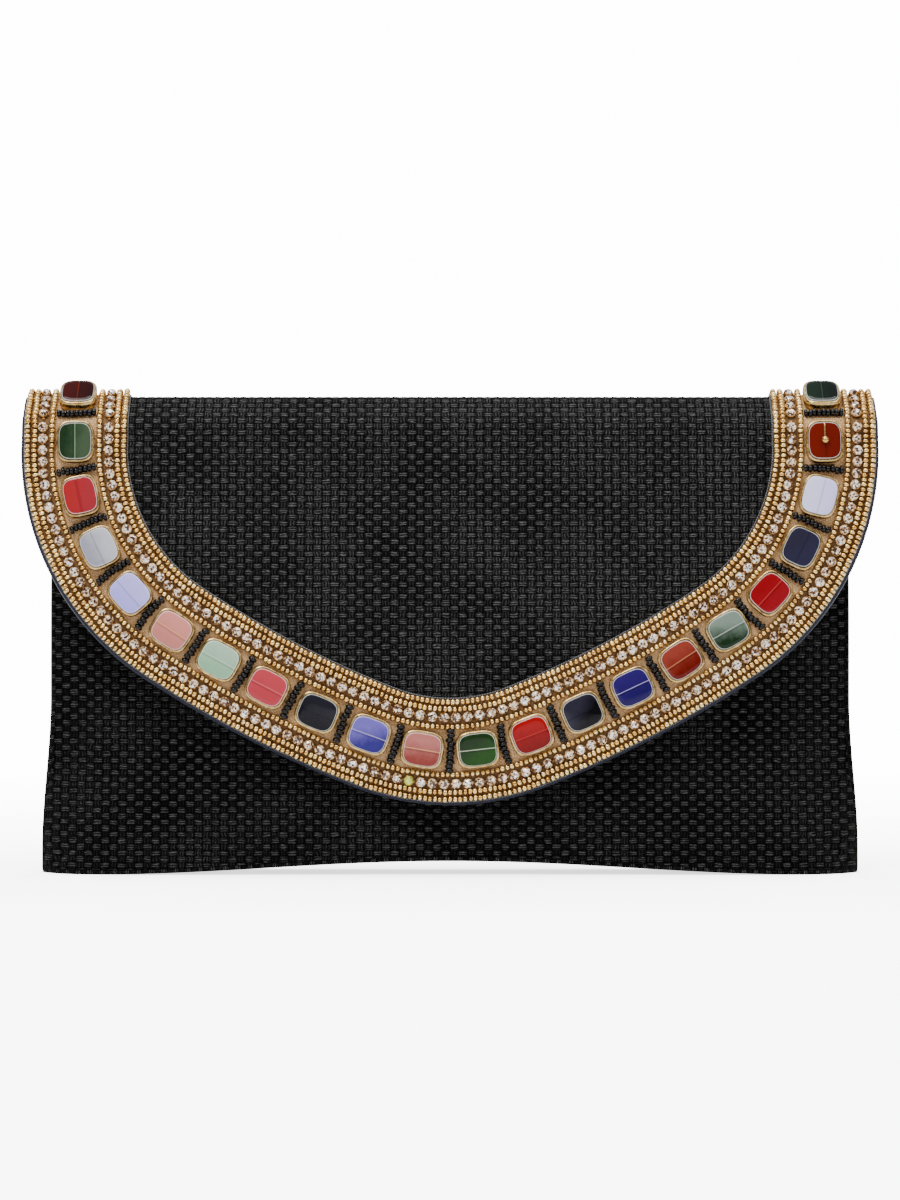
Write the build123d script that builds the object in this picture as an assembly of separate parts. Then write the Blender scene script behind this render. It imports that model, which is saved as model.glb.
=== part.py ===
from build123d import *
import math
import os

# Beaded flap clutch, standing on its base. Millimetres, +Z up, the flap faces -Y.
# y = 0 in this source is the vertical plane through the fold's apex; FRAME_Y moves
# that plane so that the part's own frame sits at the middle of its depth.
FRAME_Y = 3.2

# Body
BODY_HALF_WIDTH = 137.0      # from z = 60 upwards
BASE_HALF_WIDTH = 140.0      # near the bottom corners
ARCH_HEIGHT = 4.7            # how far the bottom edge rises in the middle
FOOT_START = 124.0           # outside this |x| the bottom lies flat on the ground
FRONT_TOP = 150.0            # the mouth's front edge
SEAM_EDGE = 1.3              # outer face of each wall from the side seam's plane
CLOTH = 1.2
BOARD = 0.8
LINING = 0.4
LAYER_GAP = 0.2
FRONT_DEPTH = [(0, 17.0), (12, 17.2), (25, 17.2), (43, 17.0), (58, 17.8), (72, 18.4),
               (90, 18.2), (105, 17.3), (125, 14.2), (150, 10.2), (156, 9.2)]
BACK_DEPTH = [(0, 15.0), (12, 16.8), (25, 18.8), (43, 20.8), (58, 21.8), (72, 22.2),
              (88, 22.0), (105, 20.85), (125, 17.68), (154.5, 13.01), (156, 12.77)]

# Fold: two narrow strips between three hinge lines, in the Y-Z plane
FOLD_HALF = 12.4             # |y| of the lower hinge lines
FOLD_Z = 154.5
APEX_Z = 163.5
LEAN = 9.0                   # how far the flap and the upper back lean, degrees
LEAN_END_Z = 105.0
BELLY_RADIUS = 300.0
TIP_LEAN = 3.0

# Flap trim: the centre line is three arcs and a vertical line, in front view
TIP_CENTRE_Z = 42.6          # centre line at x = 0
TIP_RADIUS = 70.0
SIDE_RADIUS = 362.0
CORNER_RADIUS = 75.4
TURN_1 = 21.3
TURN_2 = 33.5
BACKING_HALF = 17.4
FLAP_RIM = 17.6
LINING_RIM = 18.6
GOLD_ROWS = [-16.4, -14.0, -8.0, 8.0, 14.0, 16.4]
GOLD_WIDTH = 2.0
GOLD_TOP = 3.5               # all heights on the flap count from its cloth's middle
CRYSTAL_ROW = 11.2
CRYSTAL_WIDTH = 3.2
CRYSTAL_TOP = 3.8
PITCH = 18.8                 # stone to stone along the centre line
STONE_LENGTH = 14.2
STONE_WIDTH = 12.0
STONE_HEIGHT = 4.0
STONE_CORNER = 3.0
STONE_BEVEL = 0.9
STONE_SEAT = 1.6
BAR_LENGTH = 13.0
BAR_WIDTH = 2.2
BAR_SEAT = 1.5
BAR_TOP = 3.5
BACKING_LOW = 0.65
BACKING_HIGH = 1.4

# Magnetic snap
SNAP_Z = 43.0
SNAP_RADIUS = 9.0
STUD_RADIUS = 2.5
SOCKET_HOLE = 3.2

os.makedirs("parts", exist_ok=True)


def save(shape, name):
    export_step(Pos(0, FRAME_Y, 0) * shape, "parts/" + name + ".step")


def smooth(t):
    t = max(0.0, min(1.0, t))
    return t * t * (3 - 2 * t)


def along(table, z):
    """Cubic through a table of (z, value), with slopes averaged at each entry."""
    z = max(table[0][0], min(table[-1][0], z))
    i = 0
    while i < len(table) - 2 and z > table[i + 1][0]:
        i += 1

    def slope(k):
        a = table[max(0, k - 1)]
        b = table[min(len(table) - 1, k + 1)]
        return (b[1] - a[1]) / (b[0] - a[0])

    z0, v0 = table[i]
    z1, v1 = table[i + 1]
    h = z1 - z0
    t = (z - z0) / h
    m0 = slope(i) * h
    m1 = slope(i + 1) * h
    return ((2 * t**3 - 3 * t**2 + 1) * v0 + (t**3 - 2 * t**2 + t) * m0
            + (3 * t**2 - 2 * t**3) * v1 + (t**3 - t**2) * m1)


# ---------------------------------------------------------------- body walls

def half_width(z):
    return BASE_HALF_WIDTH - (BASE_HALF_WIDTH - BODY_HALF_WIDTH) * smooth((z - 8) / 52)


def arch(x):
    if abs(x) >= FOOT_START:
        return 0.0
    return ARCH_HEIGHT * math.cos(math.pi / 2 * x / FOOT_START) ** 2


def seam_y(z):
    """The side seams run back towards the hinge near the top."""
    s = max(0.0, (z - 80) / (FOLD_Z - 80))
    return 11.9 * s * s


def fullness(u, z):
    """Share of the middle's depth left at u = -1..1: boxy at the base, pillowy above."""
    power = 4 + 14 * max(0.0, 1 - z / 60) ** 2
    return 1 - abs(u) ** power


def wall(side, u, z):
    """Outer face of a wall; side is -1 for the front and 1 for the back."""
    depth = along(FRONT_DEPTH if side < 0 else BACK_DEPTH, z)
    edge = seam_y(z) * side + SEAM_EDGE
    return Vector(u * half_width(z), side * (edge + (depth - edge) * fullness(u, z)), z)


def pouch(side, u, z):
    """Outer face of the lining pouch, which closes along the bottom."""
    depth = along(FRONT_DEPTH if side < 0 else BACK_DEPTH, z) - 2.7
    depth *= 1 - max(0.0, (27 - z) / 19) ** 2.4
    edge = 0.8 * seam_y(z) * side + 0.5
    depth = max(depth, edge + 0.2)
    x = u * (half_width(z) - 8)
    return Vector(x, side * (edge + (depth - edge) * (1 - abs(u) ** 4)), z)


def sheet(surface, side, u_max, low, high, depth, thick, across=25, up=15):
    """A cloth or board layer: the surface set in by depth, thickened inwards."""
    step = 0.002

    def point(u, z, inset):
        p = surface(side, u, z)
        if inset == 0:
            return p
        du = surface(side, u + step, z) - surface(side, u - step, z)
        dz = surface(side, u, z + 0.2) - surface(side, u, z - 0.2)
        normal = du.cross(dz).normalized()
        if normal.Y * side > 0:
            normal = -normal
        return p + normal * inset

    def skin(inset):
        grid = []
        for j in range(up):
            row = []
            for i in range(across):
                u = u_max * math.sin(math.pi / 2 * (-1 + 2 * i / (across - 1)))
                bottom = low + (arch(u * BASE_HALF_WIDTH) if low == 0 else 0)
                t = j / (up - 1)
                z = bottom + (high - bottom) * (0.35 * t * t + 0.65 * t)
                row.append(point(u, z, inset))
            grid.append(row)
        return Face.make_surface_from_array_of_points(grid, tol=0.01)

    outer = skin(depth)
    inner = skin(depth + thick)
    faces = [outer, inner]
    for edge in outer.edges():
        middle = edge @ 0.5
        twin = min(inner.edges(), key=lambda e: (e @ 0.5 - middle).length)
        faces.append(Face.make_surface_from_curves(edge, twin))
    return Solid(Shell(faces))


# ---------------------------------------------------------------- flap and fold frames

lean = math.radians(LEAN)
tip = math.radians(TIP_LEAN)
HINGE_FRONT = Vector(0, -FOLD_HALF, FOLD_Z)
APEX = Vector(0, 0, APEX_Z)
HINGE_BACK = Vector(0, FOLD_HALF, FOLD_Z)
STRIP = (APEX - HINGE_FRONT).length
LEAN_END = HINGE_FRONT + Vector(0, -math.sin(lean), -math.cos(lean)) * (
    (FOLD_Z - LEAN_END_Z) / math.cos(lean))
BELLY_CENTRE = LEAN_END + Vector(0, math.cos(lean), -math.sin(lean)) * BELLY_RADIUS


def belly_point(angle, height):
    return BELLY_CENTRE + Vector(0, -math.cos(angle), math.sin(angle)) * (BELLY_RADIUS + height)


def flap_frame(x, z):
    """Plane on the flap's middle face: local x across, local z outwards."""
    if z >= LEAN_END_Z:
        down = (FOLD_Z - z) / math.cos(lean)
        origin = HINGE_FRONT + Vector(0, -math.sin(lean), -math.cos(lean)) * down
        angle = lean
    else:
        angle = math.asin((z - BELLY_CENTRE.Z) / BELLY_RADIUS)
        origin = belly_point(angle, 0)
        if angle < -tip:
            angle = -tip
            start = belly_point(-tip, 0)
            origin = Vector(0, start.Y + (start.Z - z) * math.tan(tip), z)
    outward = Vector(0, -math.cos(angle), math.sin(angle))
    return Plane(Vector(x, origin.Y, z), x_dir=(1, 0, 0), z_dir=outward)


def flap_shell(low, high, short):
    """A full-width layer of the flap between two heights, ending short of the hinge."""
    out = Vector(0, -math.cos(lean), math.sin(lean))
    down = Vector(0, -math.sin(lean), -math.cos(lean))
    end_dir = Vector(0, math.sin(tip), -math.cos(tip)) * 45
    edges = []
    a = []
    for h in (low, high):
        top = HINGE_FRONT + down * short + out * h
        arc_start = LEAN_END + out * h
        arc_end = belly_point(-tip, h)
        foot = arc_end + end_dir
        edges.append(Line(top, arc_start))
        edges.append(ThreePointArc(arc_start, belly_point((lean - tip) / 2, h), arc_end))
        edges.append(Line(arc_end, foot))
        a.append((top, foot))
    edges.append(Line(a[0][0], a[1][0]))
    edges.append(Line(a[0][1], a[1][1]))
    face = Face(Wire(edges))
    return Solid.extrude(face.moved(Location((-160, 0, 0))), Vector(320, 0, 0))


def trim_centres():
    c1 = (0.0, TIP_CENTRE_Z + TIP_RADIUS)
    a1 = math.radians(TURN_1)
    a2 = math.radians(TURN_2)
    k = TIP_RADIUS - SIDE_RADIUS
    c2 = (c1[0] + k * math.sin(a1), c1[1] - k * math.cos(a1))
    k = SIDE_RADIUS - CORNER_RADIUS
    c3 = (c2[0] + k * math.sin(a2), c2[1] - k * math.cos(a2))
    return [(c1, TIP_RADIUS, 0.0, a1), (c2, SIDE_RADIUS, a1, a2),
            (c3, CORNER_RADIUS, a2, math.pi / 2)]


def rim_edges(offset, top):
    """The centre line moved outwards by offset, as front-view edges, left top to right top."""
    right = []
    end = None
    for (cx, cz), radius, start, stop in trim_centres():
        r = radius + offset

        def at(a):
            return Vector(cx + r * math.sin(a), 0, cz - r * math.cos(a))

        right.append((at(start), at((start + stop) / 2), at(stop)))
        end = at(stop)
    edges = []
    for sign in (1, -1):
        for triple in right:
            edges.append(ThreePointArc(*[Vector(sign * p.X, 0, p.Z) for p in triple]))
        foot = Vector(sign * end.X, 0, end.Z)
        edges.append(Line(foot, Vector(sign * end.X, 0, top)))
    return edges, end.X


def rim_prism(offset):
    """Everything inside the rim at this offset."""
    edges, half = rim_edges(offset, 175)
    edges.append(Line(Vector(-half, 0, 175), Vector(half, 0, 175)))
    face = Face(Wire(edges))
    return Solid.extrude(face.moved(Location((0, -60, 0))), Vector(0, 70, 0))


def band_prism(inner, outer):
    edges, a = rim_edges(inner, 175)
    more, b = rim_edges(outer, 175)
    edges += more
    for sign in (1, -1):
        edges.append(Line(Vector(sign * a, 0, 175), Vector(sign * b, 0, 175)))
    face = Face(Wire(edges))
    return Solid.extrude(face.moved(Location((0, -60, 0))), Vector(0, 70, 0))


def path_at(s):
    """Front-view point and heading on the centre line, s from the middle, right positive."""
    sign = 1 if s >= 0 else -1
    left = abs(s)
    for (cx, cz), radius, start, stop in trim_centres():
        length = radius * (stop - start)
        if left <= length:
            a = start + left / radius
            x = cx + radius * math.sin(a)
            z = cz - radius * math.cos(a)
            return sign * x, z, sign * a
        left -= length
    return sign * (cx + radius), cz + left, sign * math.pi / 2


def on_flap(s):
    """Plane at the flap's middle face on the centre line, local x along it."""
    x, z, heading = path_at(s)
    base = flap_frame(x, z)
    across = base.x_dir
    upward = base.y_dir
    if upward.Z < 0:
        upward = -upward
    direction = across * math.cos(heading) + upward * math.sin(heading)
    return Plane(base.origin, x_dir=direction, z_dir=base.z_dir)


def strip_plane(which):
    """Fold strip's middle face; origin on its first hinge line, local y along the strip."""
    start, stop = (HINGE_FRONT, APEX) if which == "front" else (APEX, HINGE_BACK)
    run = (stop - start).normalized()
    return Plane(start, x_dir=(1, 0, 0), z_dir=Vector(1, 0, 0).cross(run))


def strip_box(which, x0, x1, s0, s1, low, high):
    box = Box(x1 - x0, s1 - s0, high - low, align=(Align.MIN, Align.MIN, Align.MIN))
    return strip_plane(which) * Pos(x0, s0, low) * box


def both_sides(shape):
    return Compound([shape, mirror(shape, about=Plane.YZ)])


# ---------------------------------------------------------------- small pieces

def stone():
    """A rounded rectangular table-cut bead, lying on its back, long way on local x."""
    outline = RectangleRounded(STONE_LENGTH, STONE_WIDTH, STONE_CORNER)
    body = extrude(outline, STONE_HEIGHT)
    return chamfer(body.faces().sort_by(Axis.Z)[-1].edges(), STONE_BEVEL)


def bar():
    body = Box(BAR_WIDTH, BAR_LENGTH, BAR_TOP - BAR_SEAT,
               align=(Align.CENTER, Align.CENTER, Align.MIN))
    return fillet(body.edges().filter_by(Axis.Z), 0.9)


# ---------------------------------------------------------------- body

front_panel = sheet(wall, -1, 1.0, 0, FRONT_TOP, 0, CLOTH)
back_panel = sheet(wall, 1, 1.0, 0, FOLD_Z - 0.5, 0, CLOTH)
inner = CLOTH + LAYER_GAP
front_stiffener = sheet(wall, -1, 0.84, 7.5, 146.0, inner, BOARD)
back_stiffener = sheet(wall, 1, 0.84, 7.5, 150.0, inner, BOARD)
front_lining = sheet(pouch, -1, 0.97, 9.0, 148.0, 0, LINING)
back_lining = sheet(pouch, 1, 0.97, 9.0, 151.0, 0, LINING)

# The bottom gusset is an arched plate whose ends lie flat as feet.
arch_points = []
for i in range(-20, 21):
    x = FOOT_START * i / 20
    arch_points.append(Vector(x, 0, arch(x)))
low_curve = Spline(*arch_points, tangents=[(1, 0, 0), (1, 0, 0)])
high_curve = Spline(*[p + Vector(0, 0, CLOTH) for p in arch_points],
                    tangents=[(1, 0, 0), (1, 0, 0)])
end_x = 137.0
arch_edges = [low_curve, high_curve]
for sign in (1, -1):
    a = Vector(sign * FOOT_START, 0, 0)
    b = Vector(sign * end_x, 0, 0)
    lift = Vector(0, 0, CLOTH)
    arch_edges += [Line(a, b), Line(b, b + lift), Line(a + lift, b + lift)]
arch_face = Face(Wire(arch_edges))
arch_plate = Solid.extrude(arch_face.moved(Location((0, -25, 0))), Vector(0, 50, 0))


def gusset_half(side, x):
    z = arch(x)
    p = wall(side, x / half_width(z), z)
    slope = (wall(side, (x - 1) / half_width(z), z).Y
             - wall(side, (x + 1) / half_width(z), z).Y) / 2
    return p.Y - side * (CLOTH + LAYER_GAP) * math.hypot(1, slope)


outline = []
for side in (-1, 1):
    pts = []
    for i in range(-16, 17):
        x = 134.0 * math.sin(math.pi / 2 * i / 16)
        pts.append(Vector(x, gusset_half(side, x), 0))
    outline.append(Spline(*pts))
ends = [Line(outline[0] @ k, outline[1] @ k) for k in (0, 1)]
outline_face = Face(Wire(outline + ends))
bottom_panel = arch_plate & Solid.extrude(outline_face.moved(Location((0, 0, -1))),
                                          Vector(0, 0, 10))

# ---------------------------------------------------------------- magnetic snap

snap_plane = flap_frame(0, SNAP_Z)


def disc(radius, low, high):
    return snap_plane * Pos(0, 0, low) * Cylinder(
        radius, high - low, align=(Align.CENTER, Align.CENTER, Align.MIN))


snap_stud_plate = disc(SNAP_RADIUS, -3.5, -2.35) + disc(STUD_RADIUS, -5.0, -3.5)
snap_stud_backplate = disc(7.4, -1.55, -0.85)
socket_front = -3.8
socket_back = -6.0
snap_socket_case = (disc(SNAP_RADIUS, socket_back, socket_front)
                    - disc(SOCKET_HOLE, socket_back, socket_front)
                    - (disc(8.4, socket_back, socket_front - 0.5)
                       - disc(SOCKET_HOLE + 0.5, socket_back, socket_front - 0.5)))
snap_magnet = (disc(8.3, socket_back + 0.05, socket_front - 0.6)
               - disc(SOCKET_HOLE + 0.6, socket_back + 0.05, socket_front - 0.6))
plate_y = -along(FRONT_DEPTH, SNAP_Z) + CLOTH + LAYER_GAP + 0.05
back_disc = Cylinder(7.4, 0.6, align=(Align.CENTER, Align.CENTER, Align.MIN))
snap_socket_backplate = Pos(0, plate_y, SNAP_Z) * Rot(-90, 0, 0) * back_disc
front_stiffener = front_stiffener - Pos(0, -20, SNAP_Z) * Rot(-90, 0, 0) * Cylinder(
    7.8, 12, align=(Align.CENTER, Align.CENTER, Align.MIN))

# ---------------------------------------------------------------- flap

flap_panel = flap_shell(-0.6, 0.6, 0.4) & rim_prism(FLAP_RIM)
flap_stiffener = flap_shell(-1.6, -0.8, 1.2) & rim_prism(-2.0)
flap_stiffener = flap_stiffener - disc(7.8, -3.0, 0.0)
flap_lining = flap_shell(-2.2, -1.8, 1.4) & rim_prism(LINING_RIM)
flap_trim_backing = flap_shell(BACKING_LOW, BACKING_HIGH, 0.3) & band_prism(
    -BACKING_HALF, BACKING_HALF)

bead_layer = flap_shell(BAR_SEAT, GOLD_TOP, 0.3)
crystal_layer = flap_shell(BAR_SEAT, CRYSTAL_TOP, 0.3)
flap_rows = {}
for i, row in enumerate(GOLD_ROWS):
    band = band_prism(row - GOLD_WIDTH / 2, row + GOLD_WIDTH / 2)
    flap_rows["gold_strand_" + str(i + 1)] = bead_layer & band
for name, row in (("crystal_chain_inner", -CRYSTAL_ROW), ("crystal_chain_outer", CRYSTAL_ROW)):
    band = band_prism(row - CRYSTAL_WIDTH / 2, row + CRYSTAL_WIDTH / 2)
    flap_rows[name] = crystal_layer & band

black_bead_bars = Compound([on_flap(PITCH * k) * Pos(0, 0, BAR_SEAT) * bar()
                            for k in range(-9, 10)])

# ---------------------------------------------------------------- fold strips

trim_x = trim_centres()[2][0][0] + CORNER_RADIUS
last_on_flap = 9.5 * PITCH
past_hinge = (FOLD_Z - path_at(last_on_flap)[1]) / math.cos(lean)
strips = {}
for which in ("front", "back"):
    end = STRIP - 0.3 if which == "front" else STRIP - 2.0
    half = trim_x + FLAP_RIM
    strips[which + "_panel"] = strip_box(which, -half, half, 0.6, STRIP - 0.6, -0.6, 0.6)
    half = trim_x + LINING_RIM
    strips[which + "_lining"] = strip_box(which, -half, half, 1.4, STRIP - 1.4, -1.2, -0.8)
    strips[which + "_trim_backing"] = both_sides(strip_box(
        which, trim_x - BACKING_HALF, trim_x + BACKING_HALF, 0.3, end,
        BACKING_LOW, BACKING_HIGH))
    strips[which + "_gold_strands"] = Compound([
        strip_box(which, side * trim_x + side * row - GOLD_WIDTH / 2,
                  side * trim_x + side * row + GOLD_WIDTH / 2, 0.3, end, BAR_SEAT, GOLD_TOP)
        for side in (-1, 1) for row in GOLD_ROWS])
    strips[which + "_crystal_chains"] = Compound([
        strip_box(which, side * trim_x + row - CRYSTAL_WIDTH / 2,
                  side * trim_x + row + CRYSTAL_WIDTH / 2, 0.3, end, BAR_SEAT, CRYSTAL_TOP)
        for side in (-1, 1) for row in (-CRYSTAL_ROW, CRYSTAL_ROW)])
    bar_at = PITCH / 2 - past_hinge
    if which == "back":
        bar_at += PITCH - STRIP
    strips[which + "_black_bars"] = both_sides(
        strip_plane(which) * Pos(trim_x, bar_at, BAR_SEAT) * Rot(0, 0, 90) * bar())

# ---------------------------------------------------------------- stones, left to right

lying = stone()
stones = {}
for i in range(20):
    s = (i - 9.5) * PITCH
    stones["stone_%02d" % (i + 2)] = on_flap(s) * Pos(0, 0, STONE_SEAT) * lying
for name, side in (("stone_01", -1), ("stone_22", 1)):
    place = Pos(side * trim_x, PITCH - past_hinge, STONE_SEAT) * Rot(0, 0, 90)
    stones[name] = strip_plane("front") * place * lying

# ---------------------------------------------------------------- files

save(front_panel, "front_panel")
save(back_panel, "back_panel")
save(bottom_panel, "bottom_panel")
save(front_stiffener, "front_stiffener")
save(back_stiffener, "back_stiffener")
save(front_lining, "front_lining")
save(back_lining, "back_lining")
save(snap_socket_case, "snap_socket_case")
save(snap_magnet, "snap_magnet")
save(snap_socket_backplate, "snap_socket_backplate")
save(snap_stud_plate, "snap_stud_plate")
save(snap_stud_backplate, "snap_stud_backplate")
save(flap_panel, "flap_panel")
save(flap_stiffener, "flap_stiffener")
save(flap_lining, "flap_lining")
save(flap_trim_backing, "flap_trim_backing")
save(black_bead_bars, "black_bead_bars")
for name, shape in flap_rows.items():
    save(shape, name)
for name, shape in strips.items():
    save(shape, "fold_" + name)
for name, shape in stones.items():
    save(shape, name)
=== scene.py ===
import math

import bpy
import numpy as np
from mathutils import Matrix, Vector


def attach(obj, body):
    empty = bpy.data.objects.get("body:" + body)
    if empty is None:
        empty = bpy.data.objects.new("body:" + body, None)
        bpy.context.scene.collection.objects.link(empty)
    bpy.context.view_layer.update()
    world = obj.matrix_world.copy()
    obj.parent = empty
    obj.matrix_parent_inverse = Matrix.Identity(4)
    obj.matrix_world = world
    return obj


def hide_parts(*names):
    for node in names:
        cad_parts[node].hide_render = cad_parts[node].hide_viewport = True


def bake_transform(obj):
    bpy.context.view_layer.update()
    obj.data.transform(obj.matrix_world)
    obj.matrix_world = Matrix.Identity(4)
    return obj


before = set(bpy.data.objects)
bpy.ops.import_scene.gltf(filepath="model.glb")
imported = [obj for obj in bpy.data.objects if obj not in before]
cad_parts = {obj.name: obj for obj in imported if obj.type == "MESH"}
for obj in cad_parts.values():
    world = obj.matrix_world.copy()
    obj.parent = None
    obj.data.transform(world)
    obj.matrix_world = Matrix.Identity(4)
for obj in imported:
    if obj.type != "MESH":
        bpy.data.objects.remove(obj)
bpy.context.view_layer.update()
rng = np.random.default_rng(7)

# Everything below is worked out in millimetres with y = 0 at the fold's apex, as in the
# CAD source; row() moves it into the row frame, in metres.
FRAME_Y = 3.2
FOLD_Z = 154.5
LEAN = math.radians(9)
TIP_LEAN = math.radians(3)
HINGE_BACK = np.array([12.4, FOLD_Z])
APEX = np.array([0.0, 163.5])
HINGE_FRONT = np.array([-12.4, FOLD_Z])
STRIP = float(np.linalg.norm(APEX - HINGE_FRONT))
PITCH = 18.8
TRIM_X = 127.42
CELL_X, CELL_Z = 2.9, 2.1
STONE_X, STONE_Y, ROUND = 7.3, 6.4, 3.5     # half sizes of a cut bead, and how square it is
FLAP_BOW, STRAIGHT_TO = 300.0, 105.0        # radius of the flap's front, and the height where it starts
TIP_Z, TIP_R, SIDE_R, SHOULDER_R = 42.6, 70.0, 362.0, 75.4      # the trim's centre line, in front view
CLOTH_RIM, LINING_RIM = 17.5, 17.9          # how far the flap's cloth and lining pass that line
GOLD_ROWS, BEAD_PITCH = (-16.4, -14.0, -8.0, 8.0, 14.0, 16.4), 1.70
CHAIN_ROW, CHAIN_PITCH = 11.2, 4.0
BAR_PITCH = 1.5                             # black beads along a bar
LIME = 2.0                                  # added to the tint of the one lime crystal


def row(p):
    p = np.asarray(p, float)
    return (p + np.array([0.0, FRAME_Y, 0.0])) * 0.001


def smooth(t):
    t = np.clip(t, 0, 1)
    return t * t * (3 - 2 * t)


def unit(v):
    return v / np.maximum(np.linalg.norm(v, axis=-1, keepdims=True), 1e-12)


# ------------------------------------------------------------ flap and fold profile

def build_profile():
    """Middle face of the flap's cloth: s = 0 at the back crease, growing over the top to the tip."""
    lean_end = HINGE_FRONT + np.array([-math.sin(LEAN), -math.cos(LEAN)]) * (FOLD_Z - STRAIGHT_TO) / math.cos(LEAN)
    centre = lean_end + np.array([math.cos(LEAN), -math.sin(LEAN)]) * FLAP_BOW
    corners = [HINGE_BACK + np.array([math.sin(LEAN), -math.cos(LEAN)]) * 24,
               HINGE_BACK, APEX, HINGE_FRONT]
    for k in range(41):
        a = LEAN + (-TIP_LEAN - LEAN) * k / 40
        corners.append(centre + FLAP_BOW * np.array([-math.cos(a), math.sin(a)]))
    corners.append(corners[-1] + np.array([math.sin(TIP_LEAN), -math.cos(TIP_LEAN)]) * 40)
    corners = np.array(corners)
    at = np.concatenate([[0], np.cumsum(np.linalg.norm(np.diff(corners, axis=0), axis=1))])
    s = np.arange(0, at[-1], 0.25)
    line = np.stack([np.interp(s, at, corners[:, i]) for i in (0, 1)], 1)
    window = np.hanning(35)
    window /= window.sum()
    padded = np.concatenate([line[:1] - (line[1:2] - line[:1]) * np.arange(17, 0, -1)[:, None], line,
                             line[-1:] + (line[-1:] - line[-2:-1]) * np.arange(1, 18)[:, None]])
    line = np.stack([np.convolve(padded[:, i], window, mode="valid") for i in (0, 1)], 1)
    return s - at[1], line


PROFILE_S, PROFILE = build_profile()
_slope = unit(np.gradient(PROFILE, axis=0))
PROFILE_N = np.stack([_slope[:, 1], -_slope[:, 0]], 1)
S_FRONT = 2 * STRIP
_down = PROFILE_S > S_FRONT - 6


def s_of_z(z):
    """Distance along the profile of a height on the flap's front."""
    return np.interp(-np.asarray(z, float), -PROFILE[_down, 1], PROFILE_S[_down])


def on_cloth(x, s, d):
    """Points on the flap or fold, d outwards from the middle of its cloth."""
    x, s = np.broadcast_arrays(np.asarray(x, float), np.asarray(s, float))
    y = np.interp(s, PROFILE_S, PROFILE[:, 0])
    z = np.interp(s, PROFILE_S, PROFILE[:, 1])
    n = normal_at(s)
    return np.stack([x, y + n[..., 1] * d, z + n[..., 2] * d], -1)


def normal_at(s):
    ny = np.interp(s, PROFILE_S, PROFILE_N[:, 0])
    nz = np.interp(s, PROFILE_S, PROFILE_N[:, 1])
    return unit(np.stack([np.zeros_like(ny), ny, nz], -1))


# ------------------------------------------------------------ trim path, in front view

def trim_arcs():
    a1, a2 = math.radians(21.3), math.radians(33.5)
    c1 = np.array([0.0, TIP_Z + TIP_R])
    c2 = c1 + (TIP_R - SIDE_R) * np.array([math.sin(a1), -math.cos(a1)])
    c3 = c2 + (SIDE_R - SHOULDER_R) * np.array([math.sin(a2), -math.cos(a2)])
    return [(c1, TIP_R, 0.0, a1), (c2, SIDE_R, a1, a2), (c3, SHOULDER_R, a2, math.pi / 2)]


ARCS = trim_arcs()
PATH_TOP = ARCS[2][0][1]


def path_at(s):
    """Point and heading on the centre line, s from the middle."""
    sign = 1 if s >= 0 else -1
    left = abs(s)
    for c, r, a0, a1 in ARCS:
        if left <= r * (a1 - a0):
            a = a0 + left / r
            return sign * (c[0] + r * math.sin(a)), c[1] - r * math.cos(a), sign * a
        left -= r * (a1 - a0)
    return sign * TRIM_X, PATH_TOP + left, sign * math.pi / 2


def outside(x, z):
    """Distance of front-view points from the trim's centre line, positive outside the flap."""
    ax = np.abs(x)
    result = ax - TRIM_X
    low = z < PATH_TOP
    for c, r, a0, a1 in reversed(ARCS):
        angle = np.arctan2(ax - c[0], c[1] - z)
        hit = low & (angle <= a1 + 1e-9)
        result = np.where(hit, np.hypot(ax - c[0], z - c[1]) - r, result)
    return result


def row_line(w, s_back=2.0):
    """The trim's centre line moved outwards by w, from the back crease on the left over the
    fold, round the flap and back up on the right: x and s, about 0.4 mm apart."""
    xs, zs = [], []
    for c, r, a0, a1 in ARCS:
        n = max(4, int(r * (a1 - a0) / 0.4))
        a = np.linspace(a0, a1, n, endpoint=False)
        xs.append(c[0] + (r + w) * np.sin(a))
        zs.append(c[1] - (r + w) * np.cos(a))
    x, z = np.concatenate(xs), np.concatenate(zs)
    up_z = np.arange(PATH_TOP, FOLD_Z - 0.2, 0.4)
    s = np.concatenate([s_of_z(z), s_of_z(up_z), np.arange(S_FRONT, s_back - 0.01, -0.4)])
    x = np.concatenate([x, np.full(len(s) - len(x), TRIM_X + w)])
    return np.concatenate([-x[::-1], x[1:]]), np.concatenate([s[::-1], s[1:]])


def strung(w, d, pitch):
    """Places for beads along a row: centres, frames, s and x."""
    x, s = row_line(w)
    p = on_cloth(x, s, d)
    along = np.concatenate([[0], np.cumsum(np.linalg.norm(np.diff(p, axis=0), axis=1))])
    count = int(round(along[-1] / pitch))
    at = (np.arange(count) + 0.5) * along[-1] / count
    bx, bs = np.interp(at, along, x), np.interp(at, along, s)
    centre = np.stack([np.interp(at, along, p[:, i]) for i in range(3)], 1)
    ahead = np.stack([np.interp(at + 0.5, along, p[:, i]) for i in range(3)], 1)
    behind = np.stack([np.interp(at - 0.5, along, p[:, i]) for i in range(3)], 1)
    t = unit(ahead - behind)
    n = normal_at(bs)
    n = unit(n - t * (n * t).sum(1, keepdims=True))
    return centre, np.stack([t, np.cross(n, t), n], 2), bs, bx


# Zones of the fold, each bending across one hinge; the flap's own pieces lie past the last
MID_BACK, MID_FRONT, FLAP_START = 0.5 * STRIP, 1.5 * STRIP, S_FRONT + 9.0
ZONES = {"a": (-4.5, MID_BACK), "b": (MID_BACK, MID_FRONT), "c": (MID_FRONT, FLAP_START)}
BENDS = {"a": ("bag_body", "fold_back", 0.0), "b": ("fold_back", "fold_front", STRIP),
         "c": ("fold_front", "flap", S_FRONT)}


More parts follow.
